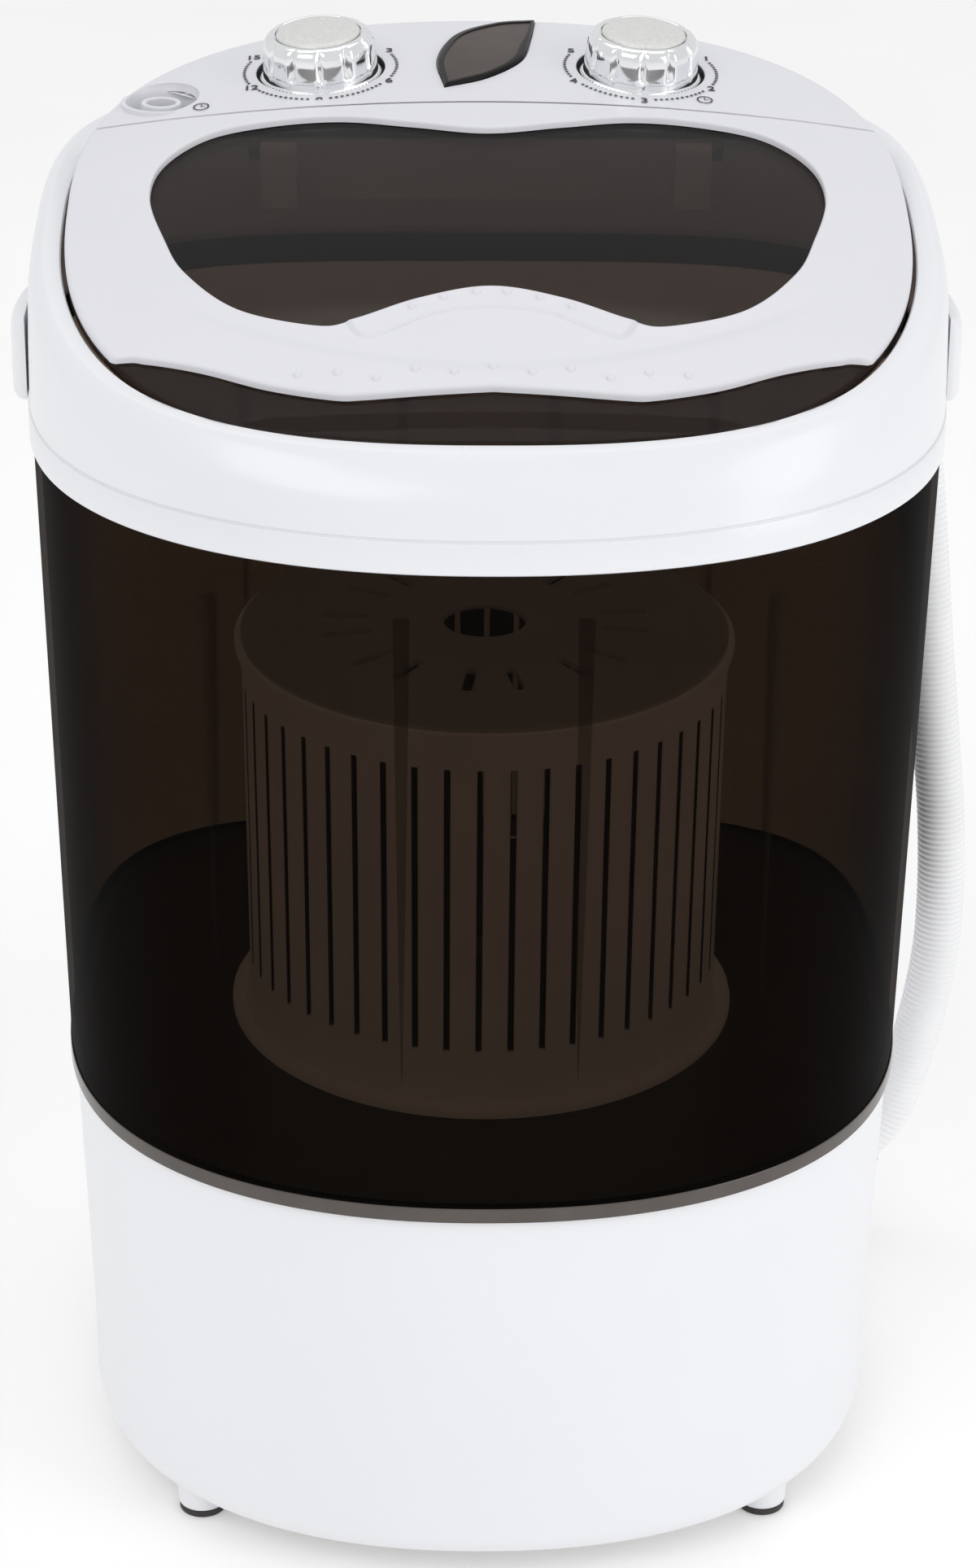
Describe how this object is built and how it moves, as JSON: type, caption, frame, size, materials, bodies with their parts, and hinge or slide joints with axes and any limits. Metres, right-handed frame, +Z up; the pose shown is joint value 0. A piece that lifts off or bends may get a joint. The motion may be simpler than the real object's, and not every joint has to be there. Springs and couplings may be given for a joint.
{
  "type": "portable mini washer",
  "caption": "Free-standing compact washer with a smoked clear tub on a white base, domed hinged lid, dial console, slotted spin basket and belt drive.",
  "frame": {"origin": "on the floor, under the middle of the body", "axes": "+Z up, front (the lid's lifting edge) faces -Y, +X to the right as seen from the front"},
  "size_m": [0.3999, 0.3518, 0.565],
  "materials": {
    "white_plastic": "satin moulded",
    "smoked_plastic": "clear smoked brown plastic",
    "rubber": "matte",
    "chrome_plate": "bright plated plastic",
    "pearl_cap": "pearl satin",
    "steel": "machined",
    "motor_steel": "pressed sheet",
    "cast_alloy": "cast",
    "grey_plastic": "moulded",
    "hose_plastic": "corrugated",
    "basket_plastic": "moulded"
  },
  "bodies": {
    "cabinet": {"base_shell": "white_plastic", "base_plate": "grey_plastic", "foot_front_left": "white_plastic", "foot_front_right": "white_plastic", "foot_rear_left": "white_plastic", "foot_rear_right": "white_plastic", "foot_pad_front_left": "rubber", "foot_pad_front_right": "rubber", "foot_pad_rear_left": "rubber", "foot_pad_rear_right": "rubber", "tub": "smoked_plastic", "collar": "white_plastic", "console_panel": "white_plastic", "timer_housing": "grey_plastic", "leaf_window": "smoked_plastic", "inlet_nozzle": "white_plastic", "wash_timer": "grey_plastic", "spin_timer": "grey_plastic", "handle_left": "white_plastic", "handle_right": "white_plastic", "hose_hook": "white_plastic", "drain_elbow": "grey_plastic", "hose_clamp": "steel", "drain_hose": "hose_plastic", "hose_cuff": "hose_plastic", "bearing_housing": "cast_alloy", "bearing_upper": "steel", "bearing_lower": "steel", "shaft_seal": "rubber", "motor_body": "motor_steel", "motor_plate": "motor_steel", "motor_mount_1": "rubber", "motor_mount_2": "rubber", "motor_mount_3": "rubber", "motor_mount_4": "rubber", "capacitor": "motor_steel", "drive_belt": "rubber", "cord_gland": "rubber"},
    "drum": {"drive_shaft": "steel", "drive_pulley": "cast_alloy", "pulley_nut": "steel", "pulsator": "white_plastic", "pulsator_screw": "steel", "basket": "basket_plastic", "basket_cover": "basket_plastic"},
    "motor_rotor": {"motor_shaft": "steel", "motor_pulley": "cast_alloy", "motor_fan": "grey_plastic"},
    "lid": {"lid_panel": "smoked_plastic", "lid_frame": "white_plastic", "hinge_pin_left": "steel", "hinge_pin_right": "steel"},
    "wash_dial": {"wash_knob": "chrome_plate", "wash_knob_cap": "pearl_cap", "wash_timer_shaft": "steel"},
    "spin_dial": {"spin_knob": "chrome_plate", "spin_knob_cap": "pearl_cap", "spin_timer_shaft": "steel"}
  },
  "joints": [
    {"name": "lid_hinge", "type": "hinge", "parent": "cabinet", "child": "lid", "pos_m": [0, 0.048, 0.528], "axis": [-1, 0, 0], "range_deg": [0, 100]},
    {"name": "wash_knob_turn", "type": "hinge", "parent": "cabinet", "child": "wash_dial", "pos_m": [-0.0655, 0.0985, 0.54701], "axis": [0.0591, 0.1081, -0.9924], "range_deg": [0, 270]},
    {"name": "spin_knob_turn", "type": "hinge", "parent": "cabinet", "child": "spin_dial", "pos_m": [0.0625, 0.0985, 0.54718], "axis": [-0.0564, 0.1081, -0.9925], "range_deg": [0, 270]},
    {"name": "drum_spin", "type": "hinge", "parent": "cabinet", "child": "drum", "pos_m": [0, 0, 0.2], "axis": [0, 0, 1], "continuous": true},
    {"name": "motor_spin", "type": "hinge", "parent": "cabinet", "child": "motor_rotor", "pos_m": [-0.098, 0, 0.043], "axis": [0, 0, 1], "continuous": true}
  ],
  "couplings": [
    {"joint": "motor_spin", "follows": "drum_spin", "ratio": 5}
  ]
}
